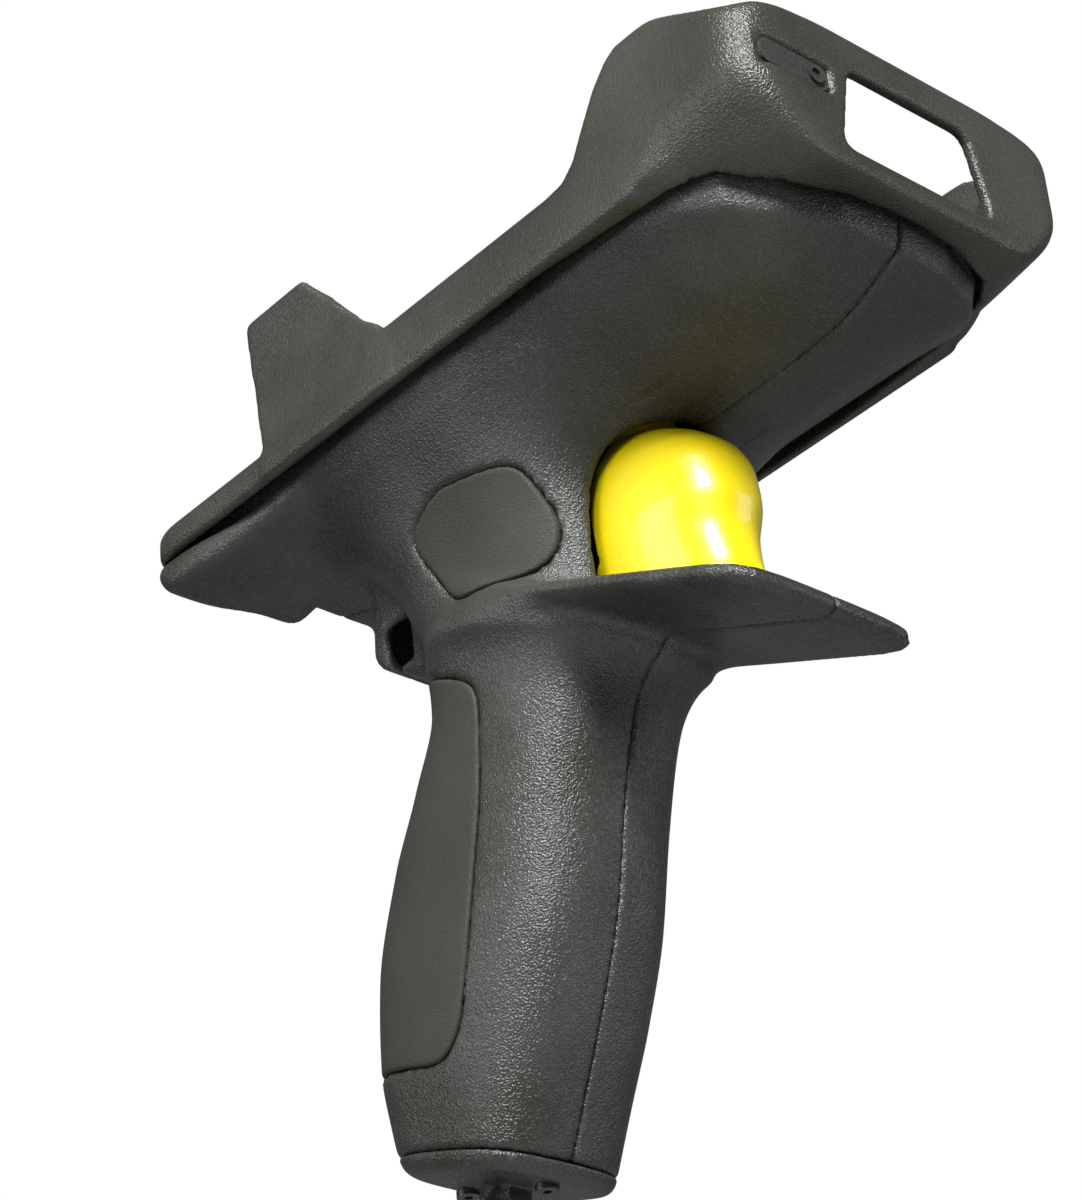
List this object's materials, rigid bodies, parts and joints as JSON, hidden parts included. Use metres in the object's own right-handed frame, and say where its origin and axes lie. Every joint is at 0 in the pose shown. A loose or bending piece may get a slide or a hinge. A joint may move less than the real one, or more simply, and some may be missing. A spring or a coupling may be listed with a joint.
{
  "type": "handheld barcode scanner",
  "caption": "Pistol-grip scanner handle: open snap-in cradle for a touch computer, scan window, finger guard, sprung trigger, raked grip and lanyard eye.",
  "frame": {"origin": "centre of the cradle's raised seat face, which the computer rests on", "axes": "+Z out of the seat, -Y towards the scanning end, +X across, to the right of a person who holds the grip"},
  "size_m": [0.0888, 0.1799, 0.1874],
  "materials": {
    "shell_plastic": "fine spark-eroded texture",
    "handle_plastic": "fine spark-eroded texture, polished by handling",
    "grip_rubber": "matt",
    "pad_rubber": "matt",
    "trigger_yellow": "gloss moulded",
    "steel": "bright",
    "screw_steel": "blackened",
    "brass": "knurled",
    "gold_contact": "plated",
    "switch_plastic": "moulded",
    "plunger_red": "moulded",
    "board_green": "solder mask",
    "foam": "closed-cell foam",
    "wire_sleeve": "insulation",
    "bush_plastic": "acetal"
  },
  "bodies": {
    "handle": {"cradle_shell": "shell_plastic", "port_plug": "pad_rubber", "left_handle_half": "handle_plastic", "right_handle_half": "handle_plastic", "left_grip_pad": "grip_rubber", "right_grip_pad": "grip_rubber", "left_side_pad": "grip_rubber", "right_side_pad": "grip_rubber", "left_ear_pad": "pad_rubber", "right_ear_pad": "pad_rubber", "front_seat_pad": "pad_rubber", "rear_seat_pad": "pad_rubber", "clamshell_screws": "screw_steel", "clamshell_inserts": "brass", "cradle_screws": "screw_steel", "cradle_inserts": "brass", "butt_cap": "handle_plastic", "butt_screws": "screw_steel", "trigger_pin": "steel", "trigger_bushes": "bush_plastic", "trigger_spring": "steel", "switch_body": "switch_plastic", "switch_bracket": "steel", "switch_screws": "steel", "switch_leads": "wire_sleeve", "contact_block": "switch_plastic", "contact_gasket": "foam", "contact_springs": "steel", "contact_board": "board_green", "board_screws": "steel"},
    "trigger_lever": {"trigger": "trigger_yellow"},
    "plunger": {"switch_plunger": "plunger_red"},
    "contact_1": {"contact_pin_1": "gold_contact"},
    "contact_2": {"contact_pin_2": "gold_contact"},
    "contact_3": {"contact_pin_3": "gold_contact"},
    "contact_4": {"contact_pin_4": "gold_contact"}
  },
  "joints": [
    {"name": "trigger_pull", "type": "hinge", "parent": "handle", "child": "trigger_lever", "pos_m": [0, -0.02, -0.016], "axis": [1, 0, 0], "range_deg": [0, 8], "stiffness_Nm_per_rad": 0.6, "springref_deg": -6.88, "deforming": ["trigger_spring"]},
    {"name": "switch_press", "type": "slide", "parent": "handle", "child": "plunger", "axis": [0, 0, 1], "range_m": [0, 0.0012]},
    {"name": "contact_press_1", "type": "slide", "parent": "handle", "child": "contact_1", "axis": [0, 0, -1], "range_m": [0, 0.001], "stiffness_N_per_m": 400, "springref_m": -0.0008, "deforming": ["contact_springs"]},
    {"name": "contact_press_2", "type": "slide", "parent": "handle", "child": "contact_2", "axis": [0, 0, -1], "range_m": [0, 0.001], "stiffness_N_per_m": 400, "springref_m": -0.0008, "deforming": ["contact_springs"]},
    {"name": "contact_press_3", "type": "slide", "parent": "handle", "child": "contact_3", "axis": [0, 0, -1], "range_m": [0, 0.001], "stiffness_N_per_m": 400, "springref_m": -0.0008, "deforming": ["contact_springs"]},
    {"name": "contact_press_4", "type": "slide", "parent": "handle", "child": "contact_4", "axis": [0, 0, -1], "range_m": [0, 0.001], "stiffness_N_per_m": 400, "springref_m": -0.0008, "deforming": ["contact_springs"]}
  ],
  "couplings": [
    {"joint": "switch_press", "follows": "trigger_pull", "m_per_rad": 0.008}
  ]
}
